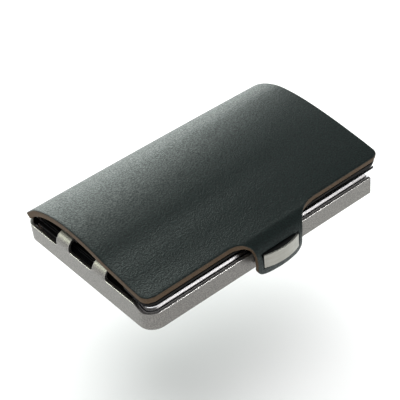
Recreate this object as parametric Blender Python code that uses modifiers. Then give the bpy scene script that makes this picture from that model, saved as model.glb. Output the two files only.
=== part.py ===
"""Card holder with money clip: a satin metal case, a polished card tray, a spring clip and a leather cover.

Everything is drawn in the case's own frame (x along the long side, y across, z up from the table),
and an empty moves that frame so that the origin is at the bottom centre of the whole object.
"""
import math

import bmesh
import bpy
from mathutils import Matrix, Vector

MM = 0.001

# Metal case: one pressed sheet with two clip legs
case_length = 86.0 * MM
case_width = 61.0 * MM
case_sheet = 1.05 * MM
case_corner = 4.7 * MM
case_bottom_fillet = 0.8 * MM
rim_low = 5.8 * MM
rim_before_legs = 7.4 * MM
rim_ogee_start = 24.0 * MM
rim_ogee_length = 4.0 * MM
window_margin = 9.5 * MM
window_land = 1.3 * MM
window_corner = 6.0 * MM

# Clip legs, bent out of the short wall
leg_width = 5.8 * MM
leg_spacing = 17.6 * MM
leg_centre = 1.05 * MM
leg_bend = 3.6 * MM
leg_reach = 9.0 * MM
leg_root_fillet = 1.1 * MM

# Clearances
clearance = 0.3 * MM
fastener_gap = 0.1 * MM
shank_gap = 0.15 * MM
overrun = 2.0 * MM
merge_distance = 0.00001 * MM
arc_steps = 8

# Polished card tray
tray_wall = 0.9 * MM
tray_floor = 0.8 * MM
tray_height = 6.0 * MM
tray_stick_out = 3.3 * MM
tray_edge_round = 0.7 * MM
tray_end_round = 1.0 * MM
tray_edge_steps = 5
tray_low_end = 4.6 * MM
tray_low_end_from = 22.0 * MM

# Black cover of the card bay
bay_cover_sheet = 0.8 * MM
bay_end_wall = 1.2 * MM
bay_short_of_tray = 0.8 * MM
bay_lap = 2.0 * MM
bay_rib_width = 0.5 * MM
bay_rib_height = 0.3 * MM
bay_rib_pitch = 1.2 * MM
bay_rib_count = 4

# Money clip leaf
leaf_sheet = 0.9 * MM
leaf_length = 67.0 * MM
leaf_flat = 7.5 * MM
leaf_crossbar = 13.5 * MM
leaf_corner = 6.0 * MM
leaf_window_corner = 3.0 * MM
leaf_curl = 0.8 * MM
leaf_curl_length = 5.0 * MM

# Rivets
clip_rivet_radius = 0.7 * MM
clip_rivet_head_radius = 1.3 * MM
clip_rivet_head = 0.3 * MM
floor_rivet_radius = 0.8 * MM
floor_rivet_head_radius = 1.6 * MM
floor_rivet_head = 0.3 * MM
floor_rivet_margin = 2.6 * MM
bay_rivet_radius = 0.7 * MM
bay_rivet_head_radius = 1.3 * MM
bay_rivet_head = 0.3 * MM
bay_rivet_spacing = 30.0 * MM
bay_rivet_height = 3.4 * MM

# Leather cover
leather = 2.1 * MM
cover_inset_left = 0.6 * MM
cover_overhang = 4.7 * MM
cover_flare = 1.0 * MM
cover_front_inset = 0.9 * MM
cover_corner_left = 3.2 * MM
cover_corner_right = 3.4 * MM
cover_corner_spine = 1.6 * MM
cover_spine_in = 0.05 * MM
cover_spine_up = 1.0 * MM
front_lift_left = 0.7 * MM
front_lift_right = 1.3 * MM
crown_lift_left = 5.5 * MM
crown_lift_right = 6.3 * MM
crown_bow = 0.7 * MM
hinge_out = 0.1 * MM
hinge_up = 0.9 * MM

# The arch of the cover, as shares of the span from the front edge to the spine: up to the crown,
# with shares of the rise at the clip end and at the open end, and then down to the spine
rise_shares = (
    (-0.03, -0.03, -0.05),
    (0.0, 0.0, 0.0),
    (0.10, 0.10, 0.26),
    (0.20, 0.285, 0.47),
    (0.30, 0.46, 0.66),
    (0.42, 0.785, 0.85),
    (0.54, 0.98, 0.975),
)
fall_shares = (
    (0.644, 0.992, 1.0),
    (0.745, 0.914, 0.953),
    (0.835, 0.762, 0.798),
    (0.905, 0.565, 0.596),
    (0.958, 0.318, 0.363),
    (0.986, 0.161, 0.193),
    (0.996, 0.075, 0.089),
    (1.0, 0.0, 0.0),
)

# Black layers bonded under the leather
lining = 0.5 * MM
lining_inset = 1.5 * MM
lining_clear_of_legs = 3.0 * MM
lining_spine_gap = 4.0 * MM
strip = 0.9 * MM
strip_width = 10.0 * MM
strip_inset = 0.4 * MM

# Fixed leather margin between the case and the tray
margin = 1.2 * MM
margin_end_gap = 1.0 * MM
margin_under_cover = 0.7 * MM

# Closing tab
tab_leather = 1.4 * MM
tab_centre = 1.35 * MM
tab_width = 17.2 * MM
tab_bulge = 1.2 * MM
tab_bulge_fade = 3.0 * MM
tab_tip_height = 0.3 * MM
tab_neck_fillet_left = 5.5 * MM
tab_neck_fillet_right = 10.0 * MM
tab_tip_corner = 2.8 * MM
tab_front_share = 0.46
tab_profile_shares = (
    (0.0, 1.0),
    (0.32, 0.965),
    (0.68, 0.85),
    (0.93, 0.665),
    (1.0, 0.47),
    (0.985, 0.235),
    (0.90, 0.0),
)

# Closure: a bare bowed plate on a black seat outside the tab, a magnet in a cup inside it
plate_width = 13.4 * MM
plate_low = 3.3 * MM
plate_high = 7.75 * MM
plate_sheet = 0.6 * MM
plate_proud = 0.35 * MM
plate_bow = 1.3 * MM
plate_recess = 0.8 * MM
stud_radius = 0.5 * MM
stud_spacing = 8.0 * MM
cup_width = 12.6 * MM
cup_low = 1.5 * MM
cup_high = 5.3 * MM
cup_depth = 2.6 * MM
cup_wall = 0.4 * MM
edge_softening = 0.25 * MM

# Worked out from the sizes above
half_length = case_length / 2
half_width = case_width / 2
floor_low = case_sheet + clearance
bay_floor = floor_low + tray_floor
tray_top = floor_low + tray_height
bay_cover_low = tray_top - bay_cover_sheet
inside_left = -half_length + case_sheet
tray_left = inside_left + clearance
tray_right = half_length + tray_stick_out
tray_front = -half_width + case_sheet + clearance
margin_back = half_width - case_sheet - clearance
margin_front = margin_back - margin
tray_back = margin_front - clearance
leaf_low = tray_top + bay_rib_height + clearance + clip_rivet_head + fastener_gap
leaf_top = leaf_low + leaf_sheet
leg_tab_low = leaf_top + clearance
leg_height = leg_tab_low + case_sheet
rim_between_legs = leg_height - leg_bend
leaf_start = -half_length + leg_bend - clearance
leaf_end = leaf_start + leaf_length
clip_rivet_x = (leaf_start - half_length + leg_reach) / 2
leg_starts = [leg_centre + side * leg_spacing / 2 - leg_width / 2 for side in (-1, 1)]
leaf_front = leg_starts[0]
leaf_back = leg_starts[1] + leg_width
floor_rivet_row = tray_back - tray_wall - floor_rivet_margin
window_reach = floor_rivet_row - floor_rivet_head_radius - shank_gap - window_land
cover_spine_low = rim_low + cover_spine_up
front_edge_left = leg_height + front_lift_left
front_edge_right = leg_height + front_lift_right
crown_left = leg_height + crown_lift_left
crown_right = leg_height + crown_lift_right
cover_left = -half_length + cover_inset_left
cover_right = half_length + cover_overhang
cover_front = -half_width + cover_front_inset
cover_back = half_width - cover_spine_in
hinge_y = half_width + hinge_out
hinge_z = rim_low + hinge_up
tab_start_y = cover_front - clearance
tab_start_z = front_edge_left + tab_front_share * (front_edge_right - front_edge_left)
cup_back = -half_width - clearance - cup_depth
tab_face_y = cup_back - clearance - tab_leather
plate_end_y = tab_face_y - plate_proud
recess_y = tab_face_y + plate_recess
case_x = -(cover_overhang + cover_flare) / 2
case_y = (plate_bow - plate_end_y - cover_back) / 2


# Scene, materials and placing

def clear_scene():
    """Remove every object, so that a second run starts from an empty scene."""
    for thing in list(bpy.data.objects):
        bpy.data.objects.remove(thing, do_unlink=True)


def collection(name):
    """A new collection under the scene's own."""
    group = bpy.data.collections.new(name)
    bpy.context.scene.collection.children.link(group)
    return group


def finish(name, colour, roughness, metallic):
    """A Principled material with one colour, roughness and metallic value."""
    material = bpy.data.materials.new(name)
    material.use_nodes = True
    shader = material.node_tree.nodes["Principled BSDF"]
    shader.inputs["Base Color"].default_value = (*colour, 1.0)
    shader.inputs["Roughness"].default_value = roughness
    shader.inputs["Metallic"].default_value = metallic
    return material


def empty(name, place, parent=None):
    """An empty that carries the pieces of one body; it stands on the body's joint axis."""
    carrier = bpy.data.objects.new(name, None)
    carrier.empty_display_size = leg_width
    carrier.location = place
    carrier.parent = parent
    parts.objects.link(carrier)
    return carrier


def piece(name, mesh, material, carrier, axis=(0, 0, 0)):
    """A named part of the holder, drawn in the case's frame and carried by an empty at axis."""
    mesh.materials.clear()
    mesh.materials.append(material)
    thing = bpy.data.objects.new(name, mesh)
    thing.parent = carrier
    thing.location = -Vector(axis)
    parts.objects.link(thing)
    return thing


def tool(name, mesh, host):
    """A cutter or an added shape for host, which shares host's place."""
    shape = bpy.data.objects.new(name, mesh)
    shape.parent = host.parent
    shape.location = host.location
    shape.hide_render = True
    shape.display_type = "WIRE"
    cutters.objects.link(shape)
    return shape


def boolean(host, name, mesh, operation):
    """Cut host by a shape, join the shape to it, or keep only what both fill."""
    modifier = host.modifiers.new(name, "BOOLEAN")
    modifier.operation = operation
    modifier.object = tool(host.name + "_" + name, mesh, host)


# Mesh makers

def arc(centre, radius, start, end, steps=arc_steps):
    """Points along a circle from one angle to another, both in degrees."""
    angles = [math.radians(start + (end - start) * i / steps) for i in range(steps + 1)]
    return [(centre[0] + radius * math.cos(a), centre[1] + radius * math.sin(a)) for a in angles]


def rounded_rectangle(low, high, radii):
    """A rectangle's outline with its own radius at each corner, counter-clockwise from low."""
    corners = (
        (low[0], low[1], 1, 1, 180),
        (high[0], low[1], -1, 1, 270),
        (high[0], high[1], -1, -1, 0),
        (low[0], high[1], 1, -1, 90),
    )
    points = []
    for (x, y, side_x, side_y, angle), radius in zip(corners, radii):
        if radius > 0:
            points += arc((x + side_x * radius, y + side_y * radius), radius, angle, angle + 90)
        else:
            points.append((x, y))
    return points


def outline_solid(name, points, low, high, plane="XY"):
    """A flat outline as a filled 2D curve, extruded from low to high across its plane."""
    turns = {
        "XY": Matrix.Identity(4),
        "YZ": Matrix(((0, 0, 1, 0), (1, 0, 0, 0), (0, 1, 0, 0), (0, 0, 0, 1))),
        "XZ": Matrix(((1, 0, 0, 0), (0, 0, -1, 0), (0, 1, 0, 0), (0, 0, 0, 1))),
    }
    middle = (low + high) / 2
    curve = bpy.data.curves.new(name, "CURVE")
    curve.dimensions = "2D"
    curve.fill_mode = "BOTH"
    curve.extrude = (high - low) / 2
    spline = curve.splines.new("POLY")
    spline.points.add(len(points) - 1)
    for place, (across, up) in zip(spline.points, points):
        place.co = (across, up, 0, 1)
    spline.use_cyclic_u = True
    flat = bpy.data.objects.new(name, curve)
    bpy.context.scene.collection.objects.link(flat)
    evaluated = flat.evaluated_get(bpy.context.evaluated_depsgraph_get())
    mesh = bpy.data.meshes.new_from_object(evaluated)
    bpy.data.objects.remove(flat)
    work = bmesh.new()
    work.from_mesh(mesh)
    bmesh.ops.remove_doubles(work, verts=work.verts, dist=merge_distance)
    shift = Matrix.Translation((0, 0, -middle if plane == "XZ" else middle))
    work.transform(turns[plane] @ shift)
    bmesh.ops.recalc_face_normals(work, faces=work.faces)
    work.to_mesh(mesh)
    work.free()
    mesh.name = name
    return mesh


def box(name, low, high):
    """A box between two corners, from the cube primitive."""
    work = bmesh.new()
    bmesh.ops.create_cube(work, size=1)
    size = Vector(high) - Vector(low)
    middle = (Vector(high) + Vector(low)) / 2
    work.transform(Matrix.Translation(middle) @ Matrix.Diagonal((*size, 1)))
    mesh = bpy.data.meshes.new(name)
    work.to_mesh(mesh)
    work.free()
    return mesh


def cylinders(name, radius, spans, sides=20):
    """Round bars from each start to each end, as one mesh of separate solids."""
    work = bmesh.new()
    for start, end in spans:
        along = Vector(end) - Vector(start)
        turn = Vector((0, 0, 1)).rotation_difference(along.normalized()).to_matrix().to_4x4()
        place = Matrix.Translation((Vector(start) + Vector(end)) / 2) @ turn
        bmesh.ops.create_cone(
            work, cap_ends=True, segments=sides, radius1=radius, radius2=radius,
            depth=along.length, matrix=place)
    mesh = bpy.data.meshes.new(name)
    work.to_mesh(mesh)
    work.free()
    return mesh


def soften_edges(mesh, chosen, width, segments):
    """Round the edges of a mesh that the test picks by the ends of each edge."""
    work = bmesh.new()
    work.from_mesh(mesh)
    flat_angle = math.radians(30)
    edges = [
        edge for edge in work.edges
        if edge.calc_face_angle(0) > flat_angle and chosen(edge.verts[0].co, edge.verts[1].co)
    ]
    bmesh.ops.bevel(
        work, geom=edges, offset=width, segments=segments, profile=0.5, affect="EDGES",
        clamp_overlap=True)
    work.to_mesh(mesh)
    work.free()
    return mesh


def surface(name, place, steps_u, steps_v):
    """A grid whose two parameters run from 0 to 1, laid out by the function place(u, v)."""
    work = bmesh.new()
    bmesh.ops.create_grid(work, x_segments=steps_u, y_segments=steps_v, size=0.5)
    for vertex in work.verts:
        vertex.co = place(vertex.co.x + 0.5, vertex.co.y + 0.5)
    mesh = bpy.data.meshes.new(name)
    work.to_mesh(mesh)
    work.free()
    return mesh


def thicken(thing, thickness):
    """Give an open surface its thickness, all of it on the side away from the normals."""
    modifier = thing.modifiers.new("thickness", "SOLIDIFY")
    modifier.thickness = thickness
    modifier.offset = -1
    modifier.use_even_offset = True
    return thing


def thick_mesh(name, place, steps_u, steps_v, thickness):
    """A thickened surface as a plain mesh, for use as a tool."""
    draft = bpy.data.objects.new(name, surface(name, place, steps_u, steps_v))
    bpy.context.scene.collection.objects.link(draft)
    thicken(draft, thickness)
    mesh = bpy.data.meshes.new_from_object(draft.evaluated_get(bpy.context.evaluated_depsgraph_get()))
    bpy.data.objects.remove(draft)
    return mesh


def shade(thing):
    """Smooth shading with sharp edges kept where faces meet at an angle."""
    thing.data.shade_smooth()
    thing.data.set_sharp_from_angle(angle=math.radians(35))


# Curves that the pieces share

def smooth_path(points, share):
    """Position on a Catmull-Rom curve through points, where share runs from 0 to 1."""
    last = len(points) - 1
    position = min(max(share, 0.0), 1.0) * last
    index = min(int(position), last - 1)
    t = position - index
    before = points[max(index - 1, 0)]
    start = points[index]
    end = points[index + 1]
    after = points[min(index + 2, last)]
    result = []
    for p0, p1, p2, p3 in zip(before, start, end, after):
        bend = (2 * p0 - 5 * p1 + 4 * p2 - p3) * t * t
        twist = (3 * p1 - p0 - 3 * p2 + p3) * t * t * t
        result.append((2 * p1 + (p2 - p0) * t + bend + twist) / 2)
    return result


def arch_points(x):
    """The arch of the cover at x: (y, z) points blended between the clip end and the open end."""
    blend = (x - cover_left) / (cover_right - cover_left)
    front_edge = front_edge_left + blend * (front_edge_right - front_edge_left)
    bow = 4 * blend * (1 - blend) * crown_bow
    crown = crown_left + blend * (crown_right - crown_left) + bow
    span = cover_back - cover_front
    points = []
    for shares, base in ((rise_shares, front_edge), (fall_shares, cover_spine_low)):
        for y_share, left_share, right_share in shares:
            height_share = left_share + blend * (right_share - left_share)
            points.append((cover_front + y_share * span, base + height_share * (crown - base)))
    return points


def cover_place(x, share, depth):
    """A point of the cover at x, depth under its outer face, measured square to the arch."""
    points = arch_points(x)
    step = 0.002
    here = smooth_path(points, share)
    low = smooth_path(points, share - step)
    high = smooth_path(points, share + step)
    along = Vector((high[0] - low[0], high[1] - low[1])).normalized()
    return Vector((x, here[0] + along.y * depth, here[1] - along.x * depth))


def cover_layer(name, depth, thickness, material, outline):
    """One layer of the cover: the arched surface thickened, then trimmed to a plan outline."""
    span_x = cover_right - cover_left + 2 * overrun

    def place(u, v):
        return cover_place(cover_left - overrun + u * span_x, v, depth)

    layer = piece(name, surface(name, place, 8, 34), material, cover_axis, hinge_place)
    thicken(layer, thickness)
    prism = outline_solid(name + "_plan", outline, 0, crown_right + crown_bow + overrun)
    boolean(layer, "plan", prism, "INTERSECT")
    return layer


def tab_profile(v):
    """The tab's outer face in its side view, where v runs from 0 at the cover to 1 at the tip."""
    depth_y = tab_start_y - tab_face_y
    depth_z = tab_start_z - tab_tip_height
    points = [
        (tab_start_y - out_share * depth_y, tab_tip_height + up_share * depth_z)
        for out_share, up_share in tab_profile_shares
    ]
    return Vector(smooth_path(points, v))


def tab_length():
    """Length of the tab along its middle, from the cover's edge to the tip."""
    steps = 24
    places = [tab_profile(i / steps) for i in range(steps + 1)]
    return sum((b - a).length for a, b in zip(places, places[1:]))


def tab_side(v, side, neck_fillet):
    """Where the tab's left or right side stands: a fillet at the neck, then straight, then round."""
    run = v * tab_run
    left = tab_run - run
    reach = tab_width / 2
    if run < neck_fillet:
        inner = neck_fillet - run
        reach += neck_fillet - math.sqrt(neck_fillet ** 2 - inner ** 2)
    elif left < tab_tip_corner:
        inner = tab_tip_corner - left
        reach += math.sqrt(max(0.0, tab_tip_corner ** 2 - inner ** 2)) - tab_tip_corner
    return tab_centre + side * reach


def tab_place(u, v):
    """A point of the tab's outer face without its bulge: u across from 0 to 1, v down its length."""
    low = tab_side(v, -1, tab_neck_fillet_left)
    high = tab_side(v, 1, tab_neck_fillet_right)
    y, z = tab_profile(v)
    return Vector((low + u * (high - low), y, z))


def bulge_at(place):
    """How far the tab's outer face bulges forward: most in the middle, fading out above the plate."""
    across = (place.x - tab_centre) / (tab_width / 2)
    fade = (plate_high + clearance - place.z) / tab_bulge_fade
    return tab_bulge * max(0.0, 1 - across * across) * min(max(fade, 0.0), 1.0)


# The pieces

def rim_cutter():
    """What lies above the case's rim, seen from the short side: steps and the ogee before leg 2."""
    left, right = -half_width - overrun, half_width + overrun
    high = leg_height + overrun
    ogee_end = -rim_ogee_start - rim_ogee_length
    steps = 10
    points = [(left, high), (left, rim_low)]
    for i in range(steps + 1):
        share = i / steps
        ease = share * share * (3 - 2 * share)
        points.append((ogee_end + share * rim_ogee_length, rim_low + ease * (rim_before_legs - rim_low)))
    points += [(leaf_front, rim_before_legs), (leaf_front, rim_between_legs)]
    points += [(leaf_back, rim_between_legs), (leaf_back, rim_low), (right, rim_low), (right, high)]
    return outline_solid("rim_cutter", points, -half_length - overrun, half_length + overrun, "YZ")


def notch_cutters():
    """The notches beside the legs, seen from the short side, with a fillet at each leg's root."""
    high = leg_height + overrun
    fillet = leg_root_fillet
    spans = (
        (-half_width - overrun, leaf_front, rim_before_legs, 0, fillet),
        (leg_starts[0] + leg_width, leg_starts[1], rim_between_legs, fillet, fillet),
        (leaf_back, half_width + overrun, rim_low, fillet, 0),
    )
    cut_to = -half_length + leg_reach + overrun
    return [
        outline_solid(
            "notch", rounded_rectangle((front, rim), (back, high), (front_fillet, back_fillet, 0, 0)),
            -half_length - overrun, cut_to, "YZ")
        for front, back, rim, front_fillet, back_fillet in spans
    ]


def leg_outline():
    """A leg from the side: up the short wall, round the bend and inwards over the bay."""
    wall = -half_length
    root = case_sheet + clearance
    turn = (wall + leg_bend, leg_height - leg_bend)
    outer = arc(turn, leg_bend, 180, 90)
    inner = arc(turn, leg_bend - case_sheet, 90, 180)
    tip = wall + leg_reach
    return [(wall, root)] + outer + [(tip, leg_height), (tip, leg_tab_low)] + inner + [(wall + case_sheet, root)]


def clip_rivet_places():
    """Centres of the rivets that hold the leaf under the legs."""
    return [(clip_rivet_x, leg_start + leg_width / 2) for leg_start in leg_starts]


def floor_rivet_places():
    """Centres of the rivets through the two floors: three along each long side."""
    reach = half_length - window_margin
    return [(x, side * floor_rivet_row) for side in (-1, 1) for x in (-reach, 0, reach)]


def upright_bars(places, low, high):
    """Start and end points of bars that stand on the given places."""
    return [((x, y, low), (x, y, high)) for x, y in places]


def window_outline(grow=0.0):
    """The thumb window, which goes through the floors of the case and of the tray."""
    reach_x = half_length - window_margin + grow
    reach_y = window_reach + grow
    return rounded_rectangle((-reach_x, -reach_y), (reach_x, reach_y), [window_corner + grow] * 4)


def make_case():
    """Satin case: floor, walls and legs of one sheet; the right end is open."""
    corner = (case_corner, 0, 0, case_corner)
    outline = rounded_rectangle((-half_length, -half_width), (half_length, half_width), corner)
    shell = outline_solid("clip_frame", outline, 0, rim_before_legs + overrun)

    def on_floor(a, b):
        return a.z < merge_distance and b.z < merge_distance

    soften_edges(shell, on_floor, case_bottom_fillet, 3)
    case = piece("clip_frame", shell, satin_metal, holder)
    inner = case_corner - case_sheet
    cavity = rounded_rectangle(
        (inside_left, -half_width + case_sheet), (half_length + overrun, half_width - case_sheet),
        (inner, 0, 0, inner))
    boolean(case, "cavity", outline_solid("cavity", cavity, case_sheet, leg_height + overrun), "DIFFERENCE")
    boolean(case, "rim", rim_cutter(), "DIFFERENCE")
    for number, leg_start in enumerate(leg_starts, 1):
        low, high = leg_start - leg_root_fillet, leg_start + leg_width + leg_root_fillet
        leg = outline_solid("leg", leg_outline(), low, high, "XZ")
        boolean(case, f"leg_{number}", leg, "UNION")
    for number, notch in enumerate(notch_cutters(), 1):
        boolean(case, f"notch_{number}", notch, "DIFFERENCE")
    boolean(case, "window", outline_solid("window", window_outline(), -overrun, floor_low), "DIFFERENCE")
    leg_holes = upright_bars(clip_rivet_places(), leg_tab_low - overrun / 2, leg_height + overrun)
    boolean(case, "leg_holes", cylinders("leg_holes", clip_rivet_radius + shank_gap, leg_holes), "DIFFERENCE")
    leg_seats = upright_bars(
        clip_rivet_places(), leg_height - clip_rivet_head - fastener_gap, leg_height + overrun)
    seat_radius = clip_rivet_head_radius + shank_gap
    boolean(case, "leg_seats", cylinders("leg_seats", seat_radius, leg_seats), "DIFFERENCE")
    holes = upright_bars(floor_rivet_places(), -overrun, floor_low)
    boolean(case, "floor_holes", cylinders("floor_holes", floor_rivet_radius + shank_gap, holes), "DIFFERENCE")
    seats = upright_bars(floor_rivet_places(), -overrun, floor_rivet_head + fastener_gap)
    seat_radius = floor_rivet_head_radius + shank_gap
    boolean(case, "floor_seats", cylinders("floor_seats", seat_radius, seats), "DIFFERENCE")
    shade(case)


def make_tray():
    """Polished tray nested in the case; its open end sticks out past the case's walls."""
    left_corner = case_corner - case_sheet - clearance
    radii = (left_corner, tray_end_round, tray_end_round, left_corner)
    outline = rounded_rectangle((tray_left, tray_front), (tray_right, tray_back), radii)
    body = outline_solid("card_tray", outline, floor_low, tray_top)

    def on_top(a, b):
        return a.z > tray_top - merge_distance and b.z > tray_top - merge_distance

    soften_edges(body, on_top, tray_edge_round, tray_edge_steps)
    tray = piece("card_tray", body, polished_metal, holder)
    inner = left_corner - tray_wall
    cavity = rounded_rectangle(
        (tray_left + tray_wall, tray_front + tray_wall), (tray_right + overrun, tray_back - tray_wall),
        (inner, 0, 0, inner))
    boolean(tray, "bay", outline_solid("bay", cavity, bay_floor, tray_top + overrun), "DIFFERENCE")
    low_end = box(
        "low_end", (tray_left - overrun, -tray_low_end_from, tray_low_end),
        (tray_left + tray_wall + clearance, tray_back + overrun, tray_top + overrun))
    boolean(tray, "low_end", low_end, "DIFFERENCE")
    window = outline_solid("tray_window", window_outline(clearance), 0, bay_floor + overrun)
    boolean(tray, "window", window, "DIFFERENCE")
    holes = upright_bars(floor_rivet_places(), 0, bay_floor + overrun)
    boolean(tray, "floor_holes", cylinders("tray_holes", floor_rivet_radius + shank_gap, holes), "DIFFERENCE")
    seats = upright_bars(floor_rivet_places(), bay_floor - floor_rivet_head - fastener_gap, bay_floor + overrun)
    seat_radius = floor_rivet_head_radius + shank_gap
    boolean(tray, "floor_seats", cylinders("tray_seats", seat_radius, seats), "DIFFERENCE")
    ends = bay_rivet_bars(tray_left - overrun, tray_left + tray_wall + clearance)
    boolean(tray, "end_holes", cylinders("tray_end_holes", bay_rivet_radius + shank_gap, ends), "DIFFERENCE")
    end_seats = bay_rivet_bars(tray_left - overrun, tray_left + bay_rivet_head + fastener_gap)
    seat_radius = bay_rivet_head_radius + shank_gap
    boolean(tray, "end_seats", cylinders("tray_end_seats", seat_radius, end_seats), "DIFFERENCE")
    shade(tray)


def bay_rivet_bars(low, high):
    """Bars along x at the rivets that hold the bay cover's end wall to the tray."""
    middle = (tray_front + tray_back) / 2
    places = [middle + side * bay_rivet_spacing / 2 for side in (-1, 1)]
    return [((low, y, bay_rivet_height), (high, y, bay_rivet_height)) for y in places]


def make_bay_cover():
    """Black cover of the card bay, with a ribbed end wall that the cards stop against."""
    left = tray_left + tray_wall + clearance
    front = tray_front + tray_wall + clearance
    back = tray_back - tray_wall - clearance
    right = tray_right - bay_short_of_tray
    left_corner = case_corner - case_sheet - clearance
    corner = left_corner - tray_wall - clearance
    outline = rounded_rectangle((left, front), (right, back), (corner, clearance, clearance, corner))
    cover = piece(
        "bay_cover", outline_solid("bay_cover", outline, bay_cover_low, tray_top), black_plastic, holder)
    wall = box(
        "end_wall", (left, front + corner, bay_floor + clearance),
        (left + bay_end_wall, back - corner, tray_top - bay_cover_sheet / 2))
    boolean(cover, "end_wall", wall, "UNION")
    lap = box(
        "lap", (tray_left, -tray_low_end_from + clearance, bay_cover_low),
        (tray_left + bay_lap, tray_back - left_corner, tray_top - bay_cover_sheet / 2))
    boolean(cover, "lap", lap, "UNION")
    for number in range(bay_rib_count):
        x = left + bay_rib_width + number * bay_rib_pitch
        rib = box(
            "rib", (x, front + corner, tray_top - bay_cover_sheet / 2),
            (x + bay_rib_width, back - corner, tray_top + bay_rib_height))
        boolean(cover, f"rib_{number + 1}", rib, "UNION")
    holes = bay_rivet_bars(left - overrun, left + bay_end_wall + overrun)
    boolean(cover, "rivet_holes", cylinders("cover_holes", bay_rivet_radius + shank_gap, holes), "DIFFERENCE")
    seats = bay_rivet_bars(left + bay_end_wall - bay_rivet_head - fastener_gap, left + bay_end_wall + overrun)
    seat_radius = bay_rivet_head_radius + shank_gap
    boolean(cover, "rivet_seats", cylinders("cover_seats", seat_radius, seats), "DIFFERENCE")
    shade(cover)


def rivets(name, bars, shank_radius, head_radius, head):
    """One rivet along each bar: a shank with a flat head at both of its ends."""
    for number, (start, end) in enumerate(bars, 1):
        along = (Vector(end) - Vector(start)).normalized() * head
        heads = [(start, Vector(start) + along), (Vector(end) - along, end)]
        shank = cylinders(f"{name}_{number}", shank_radius, [(start, end)])
        rivet = piece(f"{name}_{number}", shank, bright_steel, holder)
        boolean(rivet, "heads", cylinders("heads", head_radius, heads), "UNION")
        shade(rivet)


def leaf_place(u, v):
    """The leaf's top face: flat under the legs, easing down to the bay cover, curled up at its tip."""
    run = u * leaf_length
    tip_height = tray_top + clearance + leaf_sheet
    slope_end = leaf_length - leaf_curl_length
    share = min(max((run - leaf_flat) / (slope_end - leaf_flat), 0.0), 1.0)
    eased = math.sin(share * math.pi / 2)
    z = leaf_top + eased * (tip_height - leaf_top)
    if run > slope_end:
        z += leaf_curl * ((run - slope_end) / leaf_curl_length) ** 2
    return Vector((leaf_start + run, leaf_front + v * (leaf_back - leaf_front), z))


def make_leaf():
    """Money clip leaf: two arms that continue the legs, joined by a crossbar at the tip."""
    leaf = piece("clip_leaf", surface("clip_leaf", leaf_place, 30, 1), spring_steel, clip_axis, flex_place)
    thicken(leaf, leaf_sheet)
    corners = (clearance, leaf_corner, leaf_corner, clearance)
    plan = rounded_rectangle((leaf_start, leaf_front), (leaf_end, leaf_back), corners)
    trim = outline_solid("leaf_plan", plan, 0, leg_height + overrun)
    boolean(leaf, "plan", trim, "INTERSECT")
    gap_low = (leaf_start - overrun, leg_starts[0] + leg_width)
    gap_high = (leaf_end - leaf_crossbar, leg_starts[1])
    gap_corners = (0, leaf_window_corner, leaf_window_corner, 0)
    gap = outline_solid("leaf_gap", rounded_rectangle(gap_low, gap_high, gap_corners), 0, leg_height + overrun)
    boolean(leaf, "gap", gap, "DIFFERENCE")
    holes = upright_bars(clip_rivet_places(), leaf_low - overrun / 2, leaf_top + overrun)
    boolean(leaf, "holes", cylinders("leaf_holes", clip_rivet_radius + shank_gap, holes), "DIFFERENCE")
    shade(leaf)


def make_rivets():
    """The three groups of rivets that hold the metal and plastic parts together."""
    low = leaf_low - fastener_gap - clip_rivet_head
    bars = upright_bars(clip_rivet_places(), low, leg_height - fastener_gap / 2)
    rivets("clip_rivet", bars, clip_rivet_radius, clip_rivet_head_radius, clip_rivet_head)
    bars = upright_bars(floor_rivet_places(), fastener_gap / 2, bay_floor - fastener_gap / 2)
    rivets("floor_rivet", bars, floor_rivet_radius, floor_rivet_head_radius, floor_rivet_head)
    end_wall = tray_left + tray_wall + clearance + bay_end_wall
    bars = bay_rivet_bars(tray_left + fastener_gap / 2, end_wall - fastener_gap / 2)
    rivets("bay_rivet", bars, bay_rivet_radius, bay_rivet_head_radius, bay_rivet_head)


def flared(x, y):
    """A point of the cover's plan, drawn out beyond the open end more and more towards the spine."""
    share = (y - cover_front) / (cover_back - cover_front)
    return (x + cover_flare * share if x > 0 else x, y)


def make_cover():
    """Leather cover with its black lining and the black strip that stiffens the front edge."""
    radii = (cover_corner_left, cover_corner_right, cover_corner_spine, cover_corner_spine)
    outline = rounded_rectangle((cover_left, cover_front), (cover_right, cover_back), radii)
    shade(cover_layer("cover_leather", 0, leather, leather_finish, [flared(*place) for place in outline]))

    under = leather + clearance
    strip_left = cover_left + strip_inset
    strip_right = cover_right - strip_inset
    strip_back = cover_front + strip_width
    strip_radii = (cover_corner_left, cover_corner_right, 0, 0)
    outline = rounded_rectangle((strip_left, cover_front), (strip_right, strip_back), strip_radii)
    shade(cover_layer("edge_strip", under, strip, black_leather, outline))

    lining_left = cover_left + lining_inset
    lining_right = cover_right - lining_inset
    lining_front = strip_back + clearance
    lining_back = cover_back - lining_spine_gap
    outline = rounded_rectangle((lining_left, lining_front), (lining_right, lining_back), (0, 0, 0, 0))
    layer = cover_layer("cover_lining", under, lining, lining_finish, outline)
    legs = box(
        "legs_clear", (lining_left - overrun, leaf_front - lining_clear_of_legs, 0),
        (-half_length + leg_reach + lining_clear_of_legs, leaf_back + lining_clear_of_legs,
         crown_right + crown_bow + overrun))
    boolean(layer, "legs_clear", legs, "DIFFERENCE")
    shade(layer)


def make_margin():
    """The cover's fixed margin, held between the back walls of the case and of the tray."""
    left = -half_length + case_corner
    right = half_length - margin_end_gap
    top = cover_spine_low - margin_under_cover
    strip_box = box("spine_margin", (left, margin_front, floor_low), (right, margin_back, top))
    piece("spine_margin", strip_box, leather_finish, holder)


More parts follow.
